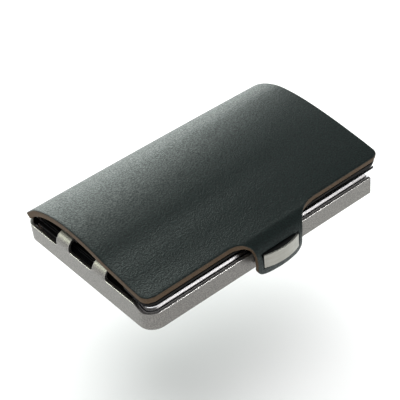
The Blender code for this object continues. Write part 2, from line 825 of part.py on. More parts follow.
def bow_line(half_width, depth, steps=arc_steps):
    """Part of the plate's bowed plan, depth under its outer face, from the left end to the right."""
    half = plate_width / 2
    radius = (half * half + plate_bow * plate_bow) / (2 * plate_bow)
    centre = (tab_centre, plate_end_y - plate_bow + radius)
    reach = math.degrees(math.asin(half_width / radius))
    return arc(centre, radius - depth, 270 - reach, 270 + reach, steps)


def stud_bars(start, end):
    """Bars along y at the plate's two studs, between two depths in front of the case."""
    height = (plate_low + cup_high) / 2
    places = [tab_centre + side * stud_spacing / 2 for side in (-1, 1)]
    return [((x, start, height), (x, end, height)) for x in places]


def tab_mesh():
    """The tab's leather: an even sheet whose outer face then bulges forward."""
    steps_across, steps_down = 14, 28

    def place(u, v):
        return tab_place(u, 1 - v)

    mesh = thick_mesh("closure_tab", place, steps_across, steps_down, tab_leather)
    outer_count = (steps_across + 1) * (steps_down + 1)
    for vertex in mesh.vertices[:outer_count]:
        vertex.co.y -= bulge_at(vertex.co)
    return mesh


def make_tab():
    """Closing tab with its bare plate on a black seat, the magnet and the magnet's cup."""
    tab = piece("closure_tab", tab_mesh(), leather_finish, tab_axis, tab_joint)
    half = plate_width / 2
    recess = rounded_rectangle(
        (tab_centre - half - clearance, plate_end_y - plate_bow - overrun),
        (tab_centre + half + clearance, recess_y), (0, 0, 0, 0))
    recess_solid = outline_solid("plate_recess", recess, plate_low - clearance, plate_high + clearance)
    boolean(tab, "recess", recess_solid, "DIFFERENCE")
    stud_end = cup_back + cup_wall
    bars = stud_bars(plate_end_y - plate_bow, cup_back + overrun)
    boolean(tab, "stud_holes", cylinders("tab_holes", stud_radius + shank_gap, bars, 16), "DIFFERENCE")
    shade(tab)

    outline = bow_line(half, 0) + bow_line(half, plate_sheet)[::-1]
    plate = piece(
        "closure_plate", outline_solid("closure_plate", outline, plate_low, plate_high),
        bright_steel, tab_axis, tab_joint)
    bars = stud_bars(plate_end_y - plate_sheet, stud_end)
    boolean(plate, "studs", cylinders("studs", stud_radius, bars, 16), "UNION")
    shade(plate)

    seat_half = half - clearance
    outline = bow_line(seat_half, plate_sheet + fastener_gap)
    seat_back = recess_y - fastener_gap
    outline += [(tab_centre + seat_half, seat_back), (tab_centre - seat_half, seat_back)]
    seat = piece(
        "plate_seat", outline_solid("plate_seat", outline, plate_low, plate_high),
        black_plastic, tab_axis, tab_joint)
    bars = stud_bars(plate_end_y - plate_bow, cup_back)
    boolean(seat, "stud_holes", cylinders("seat_holes", stud_radius + shank_gap, bars, 16), "DIFFERENCE")
    shade(seat)

    low = (tab_centre - cup_width / 2, cup_back, cup_low)
    high = (tab_centre + cup_width / 2, -half_width - clearance, cup_high)
    cup_mesh = box("closure_cup", low, high)
    soften_edges(cup_mesh, lambda a, b: True, edge_softening, 2)
    cup = piece("closure_cup", cup_mesh, bright_steel, tab_axis, tab_joint)
    pocket_low = (low[0] + cup_wall, cup_back + cup_wall, cup_low + cup_wall)
    pocket_high = (high[0] - cup_wall, high[1] + overrun, cup_high - cup_wall)
    boolean(cup, "pocket", box("pocket", pocket_low, pocket_high), "DIFFERENCE")
    bars = stud_bars(cup_back - overrun, cup_back + cup_wall + clearance / 2)
    boolean(cup, "stud_holes", cylinders("cup_holes", stud_radius + shank_gap, bars, 16), "DIFFERENCE")
    shade(cup)

    magnet_low = [side + clearance for side in pocket_low]
    magnet_high = (pocket_high[0] - clearance, high[1], pocket_high[2] - clearance)
    magnet = box("closure_magnet", magnet_low, magnet_high)
    soften_edges(magnet, lambda a, b: True, edge_softening, 2)
    piece("closure_magnet", magnet, magnet_finish, tab_axis, tab_joint)


clear_scene()
parts = collection("card_holder_with_money_clip")
cutters = collection("cutters")

satin_metal = finish("satin_metal", (0.42, 0.42, 0.40), 0.38, 1.0)
spring_steel = finish("spring_steel", (0.42, 0.42, 0.40), 0.36, 1.0)
polished_metal = finish("polished_metal", (0.80, 0.80, 0.82), 0.08, 1.0)
bright_steel = finish("bright_steel", (0.60, 0.60, 0.57), 0.30, 1.0)
black_plastic = finish("black_plastic", (0.012, 0.012, 0.013), 0.45, 0.0)
leather_finish = finish("dark_leather", (0.022, 0.030, 0.029), 0.50, 0.0)
black_leather = finish("black_leather", (0.010, 0.010, 0.010), 0.55, 0.0)
lining_finish = finish("black_lining", (0.014, 0.014, 0.015), 0.85, 0.0)
magnet_finish = finish("magnet_nickel", (0.55, 0.54, 0.52), 0.25, 1.0)

tab_run = 1.0
tab_run = tab_length()

hinge_place = (0, hinge_y, hinge_z)
flex_place = (clip_rivet_x, 0, (leaf_low + leaf_top) / 2)
tab_joint = (tab_centre, cover_front - clearance / 2, tab_start_z)
holder = empty("holder", (case_x, case_y, 0))
cover_axis = empty("cover_axis", hinge_place, holder)
clip_axis = empty("clip_axis", flex_place, holder)
tab_axis = empty("tab_axis", Vector(tab_joint) - Vector(hinge_place), cover_axis)

make_case()
make_tray()
make_bay_cover()
make_leaf()
make_rivets()
make_cover()
make_margin()
make_tab()

print("origin to case centre, mm:", [round(value / MM, 3) for value in (case_x, case_y)])
for axis_name, place in (("cover", hinge_place), ("clip", flex_place), ("tab", tab_joint)):
    world = (place[0] + case_x, place[1] + case_y, place[2])
    print(axis_name, "axis passes through, mm:", [round(value / MM, 3) for value in world])
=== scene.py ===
# %% [markdown]
# # A card holder with a money clip
# The real object is a satin metal case with a polished card tray inside it, a spring clip that
# grows out of one short wall, and an arched leather cover that a tab closes over the front wall.
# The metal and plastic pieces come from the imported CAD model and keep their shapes. The leather
# can't be a CAD solid and look right, so it is made here as surfaces worked out with numpy.

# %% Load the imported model
import math

import bpy
import numpy as np
from mathutils import Matrix, Vector


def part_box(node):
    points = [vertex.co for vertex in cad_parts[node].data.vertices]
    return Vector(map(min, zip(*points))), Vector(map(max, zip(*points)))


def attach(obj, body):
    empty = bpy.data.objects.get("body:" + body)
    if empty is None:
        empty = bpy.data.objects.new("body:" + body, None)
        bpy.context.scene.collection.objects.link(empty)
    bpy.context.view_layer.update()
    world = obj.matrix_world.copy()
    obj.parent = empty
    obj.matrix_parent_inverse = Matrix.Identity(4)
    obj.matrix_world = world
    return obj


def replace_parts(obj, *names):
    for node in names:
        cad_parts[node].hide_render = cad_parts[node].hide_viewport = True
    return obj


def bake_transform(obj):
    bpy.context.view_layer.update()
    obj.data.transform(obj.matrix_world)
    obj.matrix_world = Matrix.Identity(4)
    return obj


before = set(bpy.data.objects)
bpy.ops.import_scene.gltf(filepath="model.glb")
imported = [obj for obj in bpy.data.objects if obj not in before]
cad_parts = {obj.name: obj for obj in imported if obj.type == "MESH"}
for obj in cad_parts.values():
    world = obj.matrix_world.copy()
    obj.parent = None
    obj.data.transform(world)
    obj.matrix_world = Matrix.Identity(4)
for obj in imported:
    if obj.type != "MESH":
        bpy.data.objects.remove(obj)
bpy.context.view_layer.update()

# %% [markdown]
# ## Units and the case's own axes
# Every length of the holder is in millimetres, and one factor turns it to metres when a mesh is
# made. Only the lamps, which stand further away, are placed in metres. The leather is easiest to
# describe from the middle of the metal case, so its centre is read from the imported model
# instead of being typed again.

# %% Units and the case's centre
mm = 0.001
case_low, case_high = (np.array(corner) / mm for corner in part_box("clip_frame"))
case_centre = (case_low + case_high) / 2 * [1, 1, 0]
half_length = (case_high[0] - case_low[0]) / 2
half_width = (case_high[1] - case_low[1]) / 2
print("case centre, mm:", case_centre.round(3), "half sizes:", half_length, half_width)

# %% [markdown]
# ## The camera
# The camera was found by fitting the case's straight metal edges to the photograph. It stands in
# front and to the left, looks down at about 38 degrees and leans a little to one side. A turn made
# of three plain angles says this more clearly than a matrix of nine numbers.

# %% Camera
camera_from_case = np.array([-159.62, -217.50, 218.33])
camera_place = Vector((case_centre + camera_from_case) * mm)
camera_yaw, camera_pitch, camera_lean = (math.radians(angle) for angle in (36.41, 38.33, 6.13))
lens_pixels = 1137.0
picture_pixels = 400

forward = Vector((
    math.sin(camera_yaw) * math.cos(camera_pitch),
    math.cos(camera_yaw) * math.cos(camera_pitch),
    -math.sin(camera_pitch),
))
level_right = forward.cross(Vector((0, 0, 1))).normalized()
level_up = level_right.cross(forward)
right = level_right * math.cos(camera_lean) - level_up * math.sin(camera_lean)
up = right.cross(forward)

camera_data = bpy.data.cameras.new("camera")
camera = bpy.data.objects.new("camera", camera_data)
bpy.context.scene.collection.objects.link(camera)
bpy.context.scene.camera = camera
camera_data.sensor_width = 36.0
camera_data.lens = camera_data.sensor_width * lens_pixels / picture_pixels
camera_data.clip_start = 0.01
camera_turn = Matrix((right, up, -forward)).transposed().to_4x4()
camera.matrix_world = Matrix.Translation(camera_place) @ camera_turn
print("lens, mm:", round(camera_data.lens, 2))

# %% [markdown]
# ## Helpers for colours, nodes and meshes
# Colours are written as sRGB hex values, as a paint chart gives them, and one function turns them
# to the linear values that the shaders work with. One function adds a shader node with its
# settings and links, and one puts arrays of points and faces into a mesh.

# %% Colour helper
def linear(hex_value):
    """sRGB hex to linear: each channel over 12.92 when dark, and a power of 2.4 otherwise."""
    channels = np.array([int(hex_value[i:i + 2], 16) / 255 for i in (1, 3, 5)])
    low = channels / 12.92
    high = ((channels + 0.055) / 1.055) ** 2.4
    return (*np.where(channels <= 0.04045, low, high), 1.0)


print("mid grey is", round(linear("#808080")[0], 3), "in linear light")


# %% Node helper
def add(tree, kind, settings=(), links=()):
    """A shader node of one kind; settings name its sockets or fields, links name its inputs."""
    node = tree.nodes.new("ShaderNode" + kind)
    for name, value in dict(settings).items():
        if isinstance(name, str) and hasattr(node, name):
            setattr(node, name, value)
        else:
            node.inputs[name].default_value = value
    for name, socket in dict(links).items():
        tree.links.new(socket, node.inputs[name])
    return node


def new_material(name):
    """A material with an empty node tree and its output node."""
    material = bpy.data.materials.new(name)
    material.use_nodes = True
    material.node_tree.nodes.clear()
    return material, material.node_tree


# %% Mesh helper
def make_piece(name, points, faces, material, smooth_angle=None, attributes=()):
    """A mesh object from points in millimetres from the case's centre, and rows of corner numbers."""
    mesh = bpy.data.meshes.new(name)
    mesh.from_pydata(((points + case_centre) * mm).tolist(), [], faces.tolist())
    for title, values in dict(attributes).items():
        layer = mesh.attributes.new(title, "FLOAT", "POINT")
        layer.data.foreach_set("value", np.asarray(values, np.float32))
    mesh.shade_smooth()
    if smooth_angle is not None:
        mesh.set_sharp_from_angle(angle=math.radians(smooth_angle))
    mesh.materials.append(material)
    piece = bpy.data.objects.new(name, mesh)
    bpy.context.scene.collection.objects.link(piece)
    print(name, "has", len(faces), "faces")
    return piece


# %% [markdown]
# ## Leather finish
# The cover is vegetable-tanned cowhide, dyed a green-black and given a thin matt finish. Its
# grain is fine pores about half a millimetre apart, which break the highlight along the spine
# into light and dark specks. The sheet is cut, not folded, so its edge shows the brown undyed
# middle of the hide. An attribute of the mesh tells the shader where the surface is cut.

# %% Leather material
grain_pitch = 0.50
blotch_pitch = 9.0
fibre_pitch = 0.20
leather, tree = new_material("green_black_cowhide")
place = add(tree, "TexCoord").outputs["Object"]
grain = add(
    tree, "TexNoise", {"Scale": 1 / (grain_pitch * mm), "Detail": 2.0, "Roughness": 0.6},
    {"Vector": place})
pores = add(tree, "MapRange", {"From Min": 0.36, "From Max": 0.64}, {"Value": grain.outputs["Fac"]})
blotch = add(tree, "TexNoise", {"Scale": 1 / (blotch_pitch * mm), "Detail": 2.0}, {"Vector": place})
dye = add(
    tree, "Mix", {"data_type": "RGBA", 6: linear("#0A1919"), 7: linear("#1B2D2B")},
    {0: pores.outputs[0]})
uneven = add(
    tree, "Mix", {"data_type": "RGBA", "blend_type": "MULTIPLY", 7: linear("#E0E6E4")},
    {0: blotch.outputs["Fac"], 6: dye.outputs[2]})
fibre = add(tree, "TexNoise", {"Scale": 1 / (fibre_pitch * mm), "Detail": 2.0}, {"Vector": place})
edge_colour = add(
    tree, "Mix", {"data_type": "RGBA", 6: linear("#35271A"), 7: linear("#634F38")},
    {0: fibre.outputs["Fac"]})
cut = add(tree, "Attribute", {"attribute_name": "cut_edge"}).outputs["Fac"]
colour = add(
    tree, "Mix", {"data_type": "RGBA"},
    {0: cut, 6: uneven.outputs[2], 7: edge_colour.outputs[2]})
rough_grain = add(
    tree, "MapRange", {"To Min": 0.60, "To Max": 0.34}, {"Value": pores.outputs[0]})
rough = add(tree, "Mix", {"data_type": "FLOAT", 3: 0.75}, {0: cut, 2: rough_grain.outputs[0]})
bump = add(
    tree, "Bump", {"Strength": 0.8, "Distance": 0.18 * mm}, {"Height": grain.outputs["Fac"]})
shader = add(
    tree, "BsdfPrincipled", {"IOR": 1.5, "Specular IOR Level": 0.35},
    {"Base Color": colour.outputs[2], "Roughness": rough.outputs[0], "Normal": bump.outputs[0]})
add(tree, "OutputMaterial", {}, {"Surface": shader.outputs[0]})
print("leather finish has", len(tree.nodes), "nodes")

# %% [markdown]
# ## Black linings
# Under the leather lie a thin woven lining and a stiff black strip along the front edge. Both
# are matt and nearly black, so only a fine thread bump and a little sheen set them apart.

# %% Lining materials
thread_pitch, fleck_pitch = 0.30, 0.35
lining_finish, tree = new_material("black_woven_lining")
place = add(tree, "TexCoord").outputs["Object"]
weave = add(tree, "TexNoise", {"Scale": 1 / (thread_pitch * mm), "Detail": 2.0}, {"Vector": place})
shade = add(
    tree, "Mix", {"data_type": "RGBA", 6: linear("#101011"), 7: linear("#1E1E20")},
    {0: weave.outputs["Fac"]})
bump = add(tree, "Bump", {"Strength": 0.5, "Distance": 0.05 * mm}, {"Height": weave.outputs["Fac"]})
shader = add(
    tree, "BsdfPrincipled", {"Roughness": 0.85, "Sheen Weight": 0.1},
    {"Base Color": shade.outputs[2], "Normal": bump.outputs[0]})
add(tree, "OutputMaterial", {}, {"Surface": shader.outputs[0]})

strip_finish, tree = new_material("black_bonded_leather")
place = add(tree, "TexCoord").outputs["Object"]
flecks = add(tree, "TexNoise", {"Scale": 1 / (fleck_pitch * mm), "Detail": 3.0}, {"Vector": place})
shade = add(
    tree, "Mix", {"data_type": "RGBA", 6: linear("#060606"), 7: linear("#0E0D0C")},
    {0: flecks.outputs["Fac"]})
bump = add(tree, "Bump", {"Strength": 0.5, "Distance": 0.05 * mm}, {"Height": flecks.outputs["Fac"]})
shader = add(
    tree, "BsdfPrincipled", {"Roughness": 0.7, "Specular IOR Level": 0.2},
    {"Base Color": shade.outputs[2], "Normal": bump.outputs[0]})
add(tree, "OutputMaterial", {}, {"Surface": shader.outputs[0]})
print("strip finish has", len(tree.nodes), "nodes")

# %% [markdown]
# ## Metal finishes
# The case is aluminium blasted with fine glass beads and anodised a warm grey: a metal with a
# broad soft highlight and no direction. The dents of the beads are about a tenth of a millimetre
# wide, too fine for the picture, so they are drawn three times as coarse. A pressed sheet never
# has a knife edge, so a Bevel node rounds the shading of each edge by about a third of a
# millimetre. Where it turns the surface away from its flat face, the metal is made smoother and
# its colour is painted lighter, a painted highlight that draws the thin bright lines along the rim.

# %% Blasted aluminium
edge_radius = 0.35
grit_pitch = 0.30
blasted, tree = new_material("bead_blasted_aluminium")
place = add(tree, "TexCoord").outputs["Object"]
grit = add(tree, "TexNoise", {"Scale": 1 / (grit_pitch * mm), "Detail": 2.0}, {"Vector": place})
peaks = add(tree, "MapRange", {"From Min": 0.35, "From Max": 0.65}, {"Value": grit.outputs["Fac"]})
tone = add(
    tree, "Mix", {"data_type": "RGBA", 6: linear("#666563"), 7: linear("#8D8A86")},
    {0: peaks.outputs[0]})
rounded = add(tree, "Bevel", {"samples": 6, "Radius": edge_radius * mm})
flat = add(tree, "NewGeometry").outputs["Normal"]
turned = add(
    tree, "VectorMath", {"operation": "DOT_PRODUCT"}, {0: rounded.outputs[0], 1: flat})
# Mask of the rounded edges: smoother there, and the place of the painted highlight.
polish_and_painted_highlight = add(
    tree, "MapRange", {"From Min": 0.97, "From Max": 0.80}, {"Value": turned.outputs["Value"]})
# Painted highlight: the colour turns light grey along each rounded edge, drawing bright rim lines.
tone_with_painted_highlight = add(
    tree, "Mix", {"data_type": "RGBA", 7: linear("#CCCAC6")},
    {0: polish_and_painted_highlight.outputs[0], 6: tone.outputs[2]})
roughness = add(tree, "MapRange", {"To Min": 0.40, "To Max": 0.24}, {"Value": polish_and_painted_highlight.outputs[0]})
bump = add(
    tree, "Bump", {"Strength": 0.35, "Distance": 0.02 * mm},
    {"Height": grit.outputs["Fac"], "Normal": rounded.outputs[0]})
shader = add(
    tree, "BsdfPrincipled", {"Metallic": 1.0},
    {"Base Color": tone_with_painted_highlight.outputs[2], "Roughness": roughness.outputs[0],
     "Normal": bump.outputs[0]})
add(tree, "OutputMaterial", {}, {"Surface": shader.outputs[0]})
print("case finish has", len(tree.nodes), "nodes")

# %% [markdown]
# ## Steel
# The tray is steel polished and chromed, which mirrors the room and shows no grain. The plate
# and the rivets are brushed stainless steel. The brush leaves scratches along the plate. They
# are much finer than the picture can show, so they are drawn about 0.7 mm wide.

# %% Chromed and brushed steel
chrome, tree = new_material("polished_chromed_steel")
shader = add(
    tree, "BsdfPrincipled", {"Base Color": linear("#F4F4F8"), "Metallic": 1.0, "Roughness": 0.10})
add(tree, "OutputMaterial", {}, {"Surface": shader.outputs[0]})

scratch_length, scratch_width = 16.7, 0.714
plate_edge_radius = 0.20
brushed, tree = new_material("brushed_stainless_steel")
place = add(tree, "TexCoord").outputs["Object"]
along, across = 1 / (scratch_length * mm), 1 / (scratch_width * mm)
stretched = add(tree, "Mapping", {"Scale": (along, across, across)}, {"Vector": place})
lines = add(tree, "TexNoise", {"Scale": 1.0, "Detail": 3.0}, {"Vector": stretched.outputs[0]})
tone = add(
    tree, "Mix", {"data_type": "RGBA", 6: linear("#84837D"), 7: linear("#A8A7A0")},
    {0: lines.outputs["Fac"]})
rounded = add(tree, "Bevel", {"samples": 6, "Radius": plate_edge_radius * mm})
bump = add(
    tree, "Bump", {"Strength": 0.3, "Distance": 0.01 * mm},
    {"Height": lines.outputs["Fac"], "Normal": rounded.outputs[0]})
shader = add(
    tree, "BsdfPrincipled", {"Metallic": 1.0, "Roughness": 0.30},
    {"Base Color": tone.outputs[2], "Normal": bump.outputs[0]})
add(tree, "OutputMaterial", {}, {"Surface": shader.outputs[0]})
print("steel finishes:", chrome.name, brushed.name)

# %% [markdown]
# ## Plastic finish
# The bay cover and the plate's seat are moulded in black acetal. The mould is spark-eroded, which
# leaves a fine matt texture on them. It is drawn coarser than it is, so that it shows.

# %% Black plastic
erosion_pitch = 0.25
moulded_edge_radius = 0.15
acetal, tree = new_material("black_acetal")
place = add(tree, "TexCoord").outputs["Object"]
texture = add(
    tree, "TexNoise", {"Scale": 1 / (erosion_pitch * mm), "Detail": 2.0}, {"Vector": place})
rounded = add(tree, "Bevel", {"samples": 6, "Radius": moulded_edge_radius * mm})
bump = add(
    tree, "Bump", {"Strength": 0.3, "Distance": 0.02 * mm},
    {"Height": texture.outputs["Fac"], "Normal": rounded.outputs[0]})
shade = add(
    tree, "Mix", {"data_type": "RGBA", 6: linear("#070708"), 7: linear("#0E0E10")},
    {0: texture.outputs["Fac"]})
shader = add(
    tree, "BsdfPrincipled", {"Roughness": 0.55, "Specular IOR Level": 0.3},
    {"Base Color": shade.outputs[2], "Normal": bump.outputs[0]})
add(tree, "OutputMaterial", {}, {"Surface": shader.outputs[0]})
print("plastic finish has", len(tree.nodes), "nodes")

# %% [markdown]
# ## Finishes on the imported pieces
# The metal and plastic pieces are in the scene already, as meshes of the CAD model, so each of
# them only gets its finish. The clip's leaf is blasted like the case that it is riveted to. The
# leather and the layers under it get none, because the meshes made further down replace them.

# %% Finishes of the CAD nodes
finishes = {
    "clip_frame": blasted, "clip_leaf": blasted, "card_tray": chrome, "bay_cover": acetal,
    "plate_seat": acetal, "closure_plate": brushed, "closure_cup": brushed,
    "closure_magnet": brushed,
}
finished = []
for name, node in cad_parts.items():
    finish = finishes.get(name, brushed if "rivet" in name else None)
    if finish:
        node.data.materials.clear()
        node.data.materials.append(finish)
        finished.append(name)
print("finished nodes:", len(finished))


# %% [markdown]
# ## The arch of the cover
# The leather rises from the front edge, crowns over the clip and falls to the spine. Seen from
# either end it is one smooth curve, lower at the clip end and higher at the card mouth. A
# Catmull-Rom curve through a few points is enough, with a straight mix between the two ends and
# a slight bow of the crown between them. In both lists a row says how far back a point lies, as
# a share of the cover, and then how high it lies at the clip end and at the card mouth: a share
# of the way up to the crown, from the front edge in one list and from the spine in the other.

# %% Curve helper
def spline(control, share):
    """Catmull-Rom: a cubic between points, with the slope at each set by its two neighbours."""
    control = np.asarray(control, float)
    last = len(control) - 1
    position = np.clip(np.asarray(share, float), 0, 1) * last
    i = np.minimum(position.astype(int), last - 1)
    t = (position - i).reshape(-1, *[1] * (control.ndim - 1))
    before, start = control[np.maximum(i - 1, 0)], control[i]
    end, after = control[i + 1], control[np.minimum(i + 2, last)]
    curved = 2 * before - 5 * start + 4 * end - after
    twisted = 3 * start - before - 3 * end + after
    return (2 * start + (end - before) * t + curved * t ** 2 + twisted * t ** 3) / 2


# %% Sizes of the arch
leather_thickness = 2.2
cover_left, cover_right, cover_flare = -half_length + 0.6, half_length + 4.7, 1.0
cover_front, cover_back = -half_width + 0.9, half_width - 0.05
leg_top = case_high[2]
front_edge = leg_top + np.array([0.7, 1.3])
crown = leg_top + np.array([5.5, 6.3])
crown_bow = 0.7
spine_low = 6.8
rise = np.array([
    (-0.03, -0.03, -0.05), (0.0, 0.0, 0.0), (0.10, 0.10, 0.26), (0.20, 0.285, 0.47),
    (0.30, 0.46, 0.66), (0.42, 0.785, 0.85), (0.54, 0.98, 0.975),
])
fall = np.array([
    (0.644, 0.992, 1.0), (0.745, 0.914, 0.953), (0.835, 0.762, 0.798), (0.905, 0.565, 0.596),
    (0.958, 0.318, 0.363), (0.986, 0.161, 0.193), (0.996, 0.075, 0.089), (1.0, 0.0, 0.0),
])
print("crown of the arch, mm:", crown.round(2))


# %% Outer face of the cover
def cover_surface(x, share):
    """Outer face of the cover: a mix of edge, crown and spine heights, by shares along the arch."""
    weight = spline(np.eye(len(rise) + len(fall)), share)
    blend = (x - cover_left) / (cover_right - cover_left)
    edge = front_edge[0] + blend * (front_edge[1] - front_edge[0])
    top = crown[0] + blend * (crown[1] - crown[0]) + 4 * blend * (1 - blend) * crown_bow
    y = cover_front + weight @ np.r_[rise[:, 0], fall[:, 0]] * (cover_back - cover_front)
    z = 0
    rising, falling = weight[:, :len(rise)], weight[:, len(rise):]
    for part, table, base in ((rising, rise, edge), (falling, fall, spine_low)):
        clip_end, card_end = (part @ table[:, column] for column in (1, 2))
        raised = clip_end[:, None] + blend * (card_end - clip_end)[:, None]
        z = z + base * (part.sum(1)[:, None] - raised) + top * raised
    return np.stack([x, np.broadcast_to(y[:, None], x.shape), z], -1)


middle = np.array([[(cover_left + cover_right) / 2]])
dense_count = 1500
dense_share = np.linspace(0, 1, dense_count)
dense = cover_surface(np.repeat(middle, dense_count, 0), dense_share)[:, 0]
dense_run = np.r_[0, np.cumsum(np.linalg.norm(np.diff(dense, axis=0), axis=1))]
print("leather over the arch, mm:", dense_run[-1].round(1))


def rows_between(front_y, back_y, pitch):
    """Shares of the arch at an even pitch along it, from a line at back_y to one at front_y."""
    start, end = (np.interp(y, dense[:, 1], dense_run) for y in (back_y, front_y))
    count = int(round(abs(start - end) / pitch))
    return np.interp(np.linspace(start, end, count + 1), dense_run, dense_share)


# %% [markdown]
# ## A sheet with cut edges
# Every leather piece is a sheet: a grid of points for its outer face, the same grid pushed in by
# its thickness, and a rim carried round the outline. The rim's profile is a quarter circle, a
# straight and a quarter circle, so that the edge is rounded as a burnished edge is.

# %% Faces and normals
def face_normals(points, quads):
    """Unit normal at each point: the sum of the crossed diagonals of the faces around it."""
    a, b, c, d = (points[quads[:, k]] for k in range(4))
    crossed = np.cross(c - a, d - b)
    total = np.zeros_like(points)
    for k in range(4):
        np.add.at(total, quads[:, k], crossed)
    return total / np.linalg.norm(total, axis=1, keepdims=True)


def strip_quads(low, high):
    """Faces between two rows of point numbers of one length."""
    return np.stack([low[:-1], low[1:], high[1:], high[:-1]], -1).reshape(-1, 4)


def grid_quads(numbers):
    """Faces of a grid of point numbers, row by row."""
    return np.concatenate([strip_quads(low, high) for low, high in zip(numbers, numbers[1:])])


# %% Sheet with a rim
def sheet_with_rim(points, quads, loop, thickness, radius, push=0.0):
    """Outer face, inner face and a rim of two quarter circles and a straight; push moves the outer."""
    normals = face_normals(points, quads)
    thickness = np.broadcast_to(thickness, len(points))[:, None]
    push = np.broadcast_to(push, points.shape)
    count = len(points)
    ahead, behind = points[np.roll(loop, -1)], points[np.roll(loop, 1)]
    along = ahead - behind
    outward = np.cross(along, normals[loop])
    outward /= np.linalg.norm(outward, axis=1, keepdims=True)
    radius = np.broadcast_to(radius, len(loop))[:, None]
    turns = np.radians([30, 60, 90])
    profile = [(np.sin(a), 1 - np.cos(a), 0) for a in turns]
    profile += [(np.cos(a), np.sin(a) - 1, 1) for a in np.radians([0, 30, 60])]
    rings = []
    for out, down, far in profile:
        depth = radius * down + thickness[loop] * far
        start = points[loop] + push[loop] * (1 - far)
        rings.append(start + outward * radius * out - normals[loop] * depth)
    inner = points - normals * thickness
    everything = np.concatenate([points + push, inner] + rings)
    ring_starts = 2 * count + np.arange(len(rings)) * len(loop)
    ring_numbers = [loop, *(begin + np.arange(len(loop)) for begin in ring_starts), loop + count]
    closed = [np.r_[numbers, numbers[0]] for numbers in ring_numbers]
    rim = np.concatenate([strip_quads(high, low) for high, low in zip(closed, closed[1:])])
    faces = np.concatenate([quads, quads[:, ::-1] + count, rim[:, ::-1]])
    outer_cut, inner_cut, ring_cuts = 0, 1, [0, 0.35, 1, 1, 1, 1]
    cut = np.repeat([outer_cut, inner_cut, *ring_cuts], [count, count, *[len(loop)] * len(rings)])
    return everything, faces, cut


# %% [markdown]
# ## The leather cover and its tab
# The cover and the closing tab are cut from one hide, so they are one mesh. The tab leaves the
# front edge through two round fillets, bends down over the front wall and ends in rounded
# corners. The grid has three blocks of columns, and the middle block carries on down the tab.
# The outline is drawn in by the radius of the rounded edge, and the sheet's rim fills it again.

# %% Cover outline
edge_round = 0.35
corner_left, corner_right, corner_spine = 3.2, 2.4, 1.6
tab_middle, tab_half = 1.35, 8.6 - edge_round
fillet_left, fillet_right, tip_corner = 5.5 + edge_round, 10.0 + edge_round, 2.8 - edge_round
front_line = cover_front + edge_round
left_line, right_line = cover_left + edge_round, cover_right - edge_round


def corner_inset(distance, radius):
    """How far a round corner draws a side in at a distance from its edge, by Pythagoras."""
    inside = np.clip(radius - distance, 0, radius)
    return radius - np.sqrt(radius ** 2 - inside ** 2)


print("cover from", round(left_line, 2), "to", round(right_line, 2), "mm along the case")

# %% Columns and rows of the cover
seat_half, seat_gap = 6.7, 0.3
crisp = 0.004
side_count, recess_count, left_count, right_count = 6, 33, 45, 49
recess_edge = (seat_half + seat_gap) / tab_half
tab_columns = np.concatenate([
    np.linspace(-1, -recess_edge - crisp, side_count),
    np.linspace(-recess_edge + crisp, recess_edge - crisp, recess_count),
    np.linspace(recess_edge + crisp, 1, side_count),
])
row_pitch = 0.62
row_share = rows_between(front_line, cover_back, row_pitch)
row_y = cover_surface(np.zeros((len(row_share), 1)), row_share)[:, 0, 1]
spine_inset = corner_inset(cover_back - row_y, corner_spine)
row_left = left_line + spine_inset + corner_inset(row_y - front_line, corner_left - edge_round)
row_right = right_line - spine_inset - corner_inset(row_y - front_line, corner_right - edge_round)
row_right += cover_flare * (row_y - cover_front) / (cover_back - cover_front)
left_part = np.linspace(0, 1, left_count)[:-1]
right_part = np.linspace(0, 1, right_count)[1:]
tab_left, tab_right = tab_middle - tab_half - fillet_left, tab_middle + tab_half + fillet_right
tab_block = tab_left + (tab_columns + 1) / 2 * (tab_right - tab_left)
x_grid = np.concatenate([
    row_left[:, None] + left_part * (tab_left - row_left)[:, None],
    np.broadcast_to(tab_block, (len(row_share), len(tab_columns))),
    tab_right + right_part * (row_right - tab_right)[:, None],
], 1)
flap = cover_surface(x_grid, row_share)
print("flap grid:", flap.shape[:2])

# %% [markdown]
# ## The tab's two faces
# Both faces of the tab follow one plain side profile. The outer one is also padded: it bulges
# forward between its straight sides, and a flat recess is sunk in it for the plate and its seat.
# Two grid lines stand close together at each side of the recess, which keeps its walls steep.
# The profile's points are shares: how far out from the front edge, and how high above the tip.
# A point of the arch leads in before them, so that the tab leaves the cover without a kink.

# %% Tab profile
face_y = -half_width - 4.6
tab_low = 0.3 + edge_round
tab_shares = np.array([
    (0.0, 1.0), (0.32, 0.965), (0.68, 0.85), (0.93, 0.665), (1.0, 0.47), (0.985, 0.235),
    (0.90, 0.0),
])
neck_row = flap[:, len(left_part) + len(tab_columns) // 2, 1:]
top_z = neck_row[-1, 1]
tab_top, tab_tip = np.array([front_line, top_z]), np.array([face_y, tab_low])
outward_and_down = tab_shares * [1, -1] + [0, 1]
control = tab_top + outward_and_down * (tab_tip - tab_top)
lead_in = neck_row[-4]
control = np.concatenate([lead_in[None], control])
path_count = 600
past_lead_in = (1 + np.linspace(0, 1, path_count) * (len(control) - 2)) / (len(control) - 1)
path = spline(control, past_lead_in)
path_run = np.r_[0, np.cumsum(np.linalg.norm(np.diff(path, axis=0), axis=1))]
tab_run = path_run[-1]
print("tab length along the leather, mm:", tab_run.round(2))

# %% Tab faces
tab_thickness, skive_length = 1.5, 5.0
recess_low, recess_high, recess_y = 3.0, 8.05, -half_width - 3.8
bulge, bulge_fade = 1.2, 3.0


